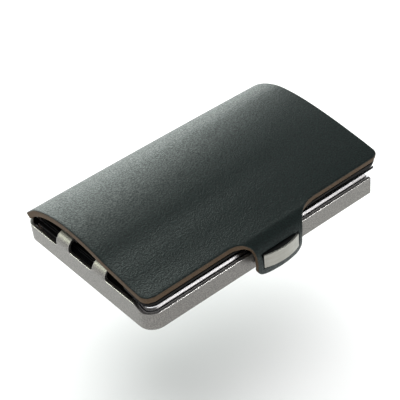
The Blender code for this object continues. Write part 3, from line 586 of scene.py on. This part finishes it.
def tab_surface(across, down):
    """The tab: a side profile, widened by the two neck fillets and narrowed by the tip corners."""
    distance = down * tab_run
    side = np.stack([np.interp(distance, path_run, path[:, k]) for k in (0, 1)], -1)
    tip = corner_inset(tab_run - distance, tip_corner)
    low, high = (
        tab_middle + turn * (tab_half - tip + corner_inset(distance, fillet))
        for turn, fillet in ((-1, fillet_left), (1, fillet_right)))
    x = low[:, None] + (across + 1) / 2 * (high - low)[:, None]
    edge_z = flap[-1, len(left_part):len(left_part) + len(tab_columns), 2]
    z = side[:, 1:] + (edge_z - top_z)[None] * (1 - down[:, None]) ** 2
    return np.stack([x, np.broadcast_to(side[:, :1], x.shape), z], -1)


neck_count, sunk_count, tip_count = 26, 14, 12
recess_top, recess_foot = np.interp([-recess_high, -recess_low], -path[:, 1], path_run / tab_run)
tab_rows = np.concatenate([
    np.linspace(0, recess_top - crisp / 2, neck_count)[1:],
    np.linspace(recess_top + crisp / 2, recess_foot - crisp / 2, sunk_count),
    np.linspace(recess_foot + crisp / 2, 1, tip_count),
])
tab = tab_surface(tab_columns, tab_rows)
from_middle = (tab[..., 0] - tab_middle) / tab_half
fade = np.clip((recess_high - tab[..., 2]) / bulge_fade, 0, 1)
tab_push = np.zeros(tab.shape)
tab_push[..., 1] = -bulge * np.clip(1 - from_middle ** 2, 0, None) * fade
sunk_columns = abs(tab_columns) < recess_edge
sunk_rows = (tab_rows > recess_top) & (tab_rows < recess_foot)
sunk = sunk_rows[:, None] & sunk_columns
tab_push[sunk, 1] = recess_y - tab[sunk, 1]
print("points in the recess:", sunk.sum())

# %% [markdown]
# ## One hide from two grids
# The tab's grid starts on the cover's front row, so the two share those points and no seam shows.
# One loop of point numbers runs round the whole outline, and the sheet's rim is built on it. The
# leather is skived, which means pared thinner, where it turns down into the tab.


flap_numbers = np.arange(flap[..., 0].size).reshape(flap.shape[:2])
tab_own = flap_numbers.size + np.arange(tab[..., 0].size).reshape(tab.shape[:2])
first, last = len(left_part), len(left_part) + len(tab_columns)
tab_numbers = np.concatenate([flap_numbers[-1:, first:last], tab_own])
points = np.concatenate([flap.reshape(-1, 3), tab.reshape(-1, 3)])
quads = np.concatenate([grid_quads(flap_numbers), grid_quads(tab_numbers)])[:, ::-1]
push = np.concatenate([np.zeros((flap_numbers.size, 3)), tab_push.reshape(-1, 3)])
loop = np.concatenate([
    flap_numbers[:-1, 0], flap_numbers[-1, :first], tab_numbers[:-1, 0], tab_numbers[-1, :-1],
    tab_numbers[:0:-1, -1], flap_numbers[-1, last - 1:-1], flap_numbers[:0:-1, -1],
    flap_numbers[0, :0:-1],
])
spine_row = np.isin(loop, flap_numbers[0])
skived = np.interp(tab_rows * tab_run, [0, skive_length], [leather_thickness, tab_thickness])
thickness = np.r_[
    np.full(flap_numbers.size, leather_thickness), np.repeat(skived, len(tab_columns))]
everything, faces, cut = sheet_with_rim(
    points, quads, loop, thickness, np.where(spine_row, 0.0, edge_round), push)
leather_cover = make_piece(
    "leather_cover", everything, faces, leather, attributes={"cut_edge": cut})
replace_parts(leather_cover, "cover_leather", "closure_tab")
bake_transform(leather_cover)

# %% [markdown]
# ## The spine fold
# Behind the arch the same hide turns down between the case's back wall and the tray, where it is
# held. It is its own strip here; on the holder it bends between the case and the cover as the
# cover opens. Its top row lies exactly on the cover's last row, so no step shows. The side view is
# a list of points, back and up, from that row down into the gap.

# %% Spine fold
fold_side = np.array([
    (cover_back, spine_low), (cover_back - 0.08, 6.50), (cover_back - 0.35, 6.20),
    (half_width - 0.85, 5.95), (half_width - 1.22, 5.5), (half_width - 1.35, 4.8),
    (half_width - 1.35, 3.0), (half_width - 1.35, 1.4),
])
rim_z = 5.8
held_thickness = 1.2
held_inset_left, held_inset_right = 4.9, 1.0
fold_row_count, fold_column_count = 36, 60
fold_rows = spline(fold_side, np.linspace(0, 1, fold_row_count))
narrow_to_wide = [rim_z - 0.3, rim_z + 0.1]
fold_heights = fold_rows[:, 1]
fold_left = np.interp(
    fold_heights, narrow_to_wide, [-half_length + held_inset_left, row_left[0]])
fold_right = np.interp(
    fold_heights, narrow_to_wide, [half_length - held_inset_right, row_right[0]])
fold_thickness = np.interp(
    fold_heights, [rim_z, spine_low], [held_thickness, leather_thickness])
across = np.linspace(0, 1, fold_column_count)
fold_x = fold_left[:, None] + across * (fold_right - fold_left)[:, None]
fold_y, fold_z = (np.broadcast_to(fold_rows[:, k:k + 1], fold_x.shape) for k in (0, 1))
fold = np.stack([fold_x, fold_y, fold_z], -1)
numbers = np.arange(fold[..., 0].size).reshape(fold.shape[:2])
loop = np.concatenate([numbers[0, :-1], numbers[:-1, -1], numbers[-1, :0:-1], numbers[:0:-1, 0]])
everything, faces, cut = sheet_with_rim(
    fold.reshape(-1, 3), grid_quads(numbers), loop[::-1],
    np.repeat(fold_thickness, fold_column_count), 0.0)
spine_fold = make_piece(
    "spine_fold", everything, faces, leather, smooth_angle=50, attributes={"cut_edge": cut})
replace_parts(spine_fold, "spine_margin")
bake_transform(spine_fold)


# %% [markdown]
# ## The black layers under the leather
# The lining and the front strip follow the same arch a little lower, so they reuse its surface.
# They are set back from the leather's edge, so only the strip's front shows as a black band. The
# strip grows thicker towards the card mouth, where it closes the gap under the leather.

# %% A layer under the leather
bond_line = 0.1
under_leather = leather_thickness + bond_line
layer_pitch, layer_columns = 0.8, 90
thickens_between = [30.0, 45.0]


def under_layer(name, material, thickness, side_inset, front_y, back_y, corners, radius):
    """A layer of the cover: the arch pushed in past the leather, inside a straight outline."""
    share = rows_between(front_y, back_y, layer_pitch)
    y = cover_surface(np.zeros((len(share), 1)), share)[:, 0, 1]
    x_low = cover_left + side_inset + corner_inset(y - front_y, corners[0])
    x_high = cover_right - side_inset - corner_inset(y - front_y, corners[1])
    x = x_low[:, None] + np.linspace(0, 1, layer_columns) * (x_high - x_low)[:, None]
    surface = cover_surface(x, share)
    numbers = np.arange(surface[..., 0].size).reshape(surface.shape[:2])
    flat = surface.reshape(-1, 3)
    quads = grid_quads(numbers)[:, ::-1]
    thick = np.interp(flat[:, 0], thickens_between, thickness)
    flat = flat - face_normals(flat, quads) * under_leather
    loop = np.concatenate(
        [numbers[:-1, 0], numbers[-1, :-1], numbers[:0:-1, -1], numbers[0, :0:-1]])
    everything, faces, _ = sheet_with_rim(flat, quads, loop, thick, radius)
    return make_piece(name, everything, faces, material)


# %% Front strip
strip_back = cover_front + 10.0
strip = under_layer(
    "front_strip", strip_finish, thickness=(1.0, 1.7), side_inset=0.4, front_y=cover_front + 0.1,
    back_y=strip_back, corners=(3.0, 2.4), radius=0.2)
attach(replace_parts(strip, "edge_strip"), "cover")

# %% Lining
lining = under_layer(
    "cover_lining_cloth", lining_finish, thickness=(0.5, 0.5), side_inset=1.6,
    front_y=strip_back + 0.4, back_y=cover_back - 4.0, corners=(0.0, 0.0), radius=0.1)
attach(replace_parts(lining, "cover_lining"), "cover")

# %% [markdown]
# ## Floor
# In the photograph the holder hovers over its own soft shadow, so the white paper lies a little
# below it. A broad overhead light shines on the paper alone, through light linking, and brings
# it to white. The holder stands in that light's way and keeps its shadow, but it isn't lit by it.
# The light is wide, which makes the shadow soft, and its tilt carries the shadow a little to the
# left and to the front.

# %% Light linking helper
def shine_only_on(lamp, pieces):
    """Light linking: the lamp lights the given objects and nothing else."""
    group = bpy.data.collections.new(lamp.name + "_lights")
    for piece in pieces:
        group.objects.link(piece)
    lamp.light_linking.receiver_collection = group


# %% Floor
floor_drop = 50.0
floor_half = 3000.0
paper, tree = new_material("white_paper_sheet")
coat = add(tree, "BsdfDiffuse", {"Color": linear("#F2F2F2")})
add(tree, "OutputMaterial", {}, {"Surface": coat.outputs[0]})
floor_mesh = bpy.data.meshes.new("floor")
corners = np.array([(-1, -1, 0), (1, -1, 0), (1, 1, 0), (-1, 1, 0)]) * floor_half
corners -= [0, 0, floor_drop]
floor_mesh.from_pydata((corners * mm).tolist(), [], [(0, 1, 2, 3)])
floor_mesh.materials.append(paper)
floor = bpy.data.objects.new("floor", floor_mesh)
bpy.context.scene.collection.objects.link(floor)
print("paper lies", floor_drop, "mm below the holder")

# %% Overhead light
overhead_angle, overhead_tilt = 80, (-6, 16, 0)
ceiling_data = bpy.data.lights.new("ceiling_light", "SUN")
ceiling_data.energy = 3.0
ceiling_data.angle = math.radians(overhead_angle)
ceiling_light = bpy.data.objects.new("ceiling_light", ceiling_data)
ceiling_light.rotation_euler = [math.radians(angle) for angle in overhead_tilt]
bpy.context.scene.collection.objects.link(ceiling_light)
shine_only_on(ceiling_light, [floor])
print("overhead light is", overhead_angle, "degrees wide")

# %% [markdown]
# ## Studio light
# The walls of the studio are white at the object's height and fade to a grey ceiling, so a
# surface that faces up mirrors something darker than one that is seen at a glance. A wide lamp
# stands low behind the object, which makes the band of light along the spine, and a small one
# above it carries that band down the leather. One lamp behind on the left and one in front on
# the right draw the bright edges of the case. They are linked to the case and the plate alone,
# so that they don't come back to the rim out of the polished tray.

# %% World
ceiling_grey = 0.26
world = bpy.data.worlds.new("studio")
bpy.context.scene.world = world
world.use_nodes = True
tree = world.node_tree
tree.nodes.clear()
direction = add(tree, "TexCoord").outputs["Generated"]
height = add(tree, "SeparateXYZ", {}, {0: direction}).outputs["Z"]
ceiling = add(
    tree, "MapRange", {"interpolation_type": "SMOOTHSTEP", "From Min": 0.10, "From Max": 0.55},
    {"Value": height})
shade = add(
    tree, "Mix", {"data_type": "RGBA", 6: (1, 1, 1, 1), 7: (*[ceiling_grey] * 3, 1)},
    {0: ceiling.outputs[0]})
sky = add(tree, "Background", {"Strength": 1.0}, {"Color": shade.outputs[2]})
add(tree, "OutputWorld", {}, {"Surface": sky.outputs[0]})
print("world has", len(tree.nodes), "nodes")


# %% Lamps
def soft_box(name, azimuth, elevation, distance, size, radiance, colour):
    """A square lamp that looks at the case from two angles and a distance, in metres.

    Cycles takes its radiance as its power over four times its area, so the power is worked out.
    """
    turn, lift = math.radians(azimuth), math.radians(elevation)
    place = distance * Vector((
        math.sin(turn) * math.cos(lift), math.cos(turn) * math.cos(lift), math.sin(lift)))
    data = bpy.data.lights.new(name, "AREA")
    data.shape = "SQUARE"
    data.size = size
    data.energy = 4 * size ** 2 * radiance
    data.color = colour
    lamp = bpy.data.objects.new(name, data)
    bpy.context.scene.collection.objects.link(lamp)
    aim = (-place).to_track_quat("-Z", "Y").to_matrix().to_4x4()
    lamp.matrix_world = Matrix.Translation(place) @ aim
    print(name, "stands at", [round(length, 2) for length in place], "m")
    return lamp


pale_green, pale_lime, pale_blue = (0.91, 1.0, 0.95), (0.94, 1.0, 0.84), (0.97, 0.98, 1.0)
soft_box(
    "back_light", azimuth=16, elevation=13, distance=0.8, size=0.60, radiance=3.2,
    colour=pale_green)
soft_box(
    "shoulder_light", azimuth=16, elevation=44, distance=0.3, size=0.12, radiance=4.6,
    colour=pale_green)
left_light = soft_box(
    "left_light", azimuth=-44, elevation=28, distance=0.8, size=0.32, radiance=4.5,
    colour=pale_lime)
front_light = soft_box(
    "front_light", azimuth=146, elevation=42, distance=0.8, size=0.32, radiance=9.5,
    colour=pale_blue)
satin_metal = [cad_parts[name] for name in ("clip_frame", "closure_plate")]
shine_only_on(left_light, satin_metal)
shine_only_on(front_light, satin_metal)
bpy.context.scene.view_settings.view_transform = "Standard"
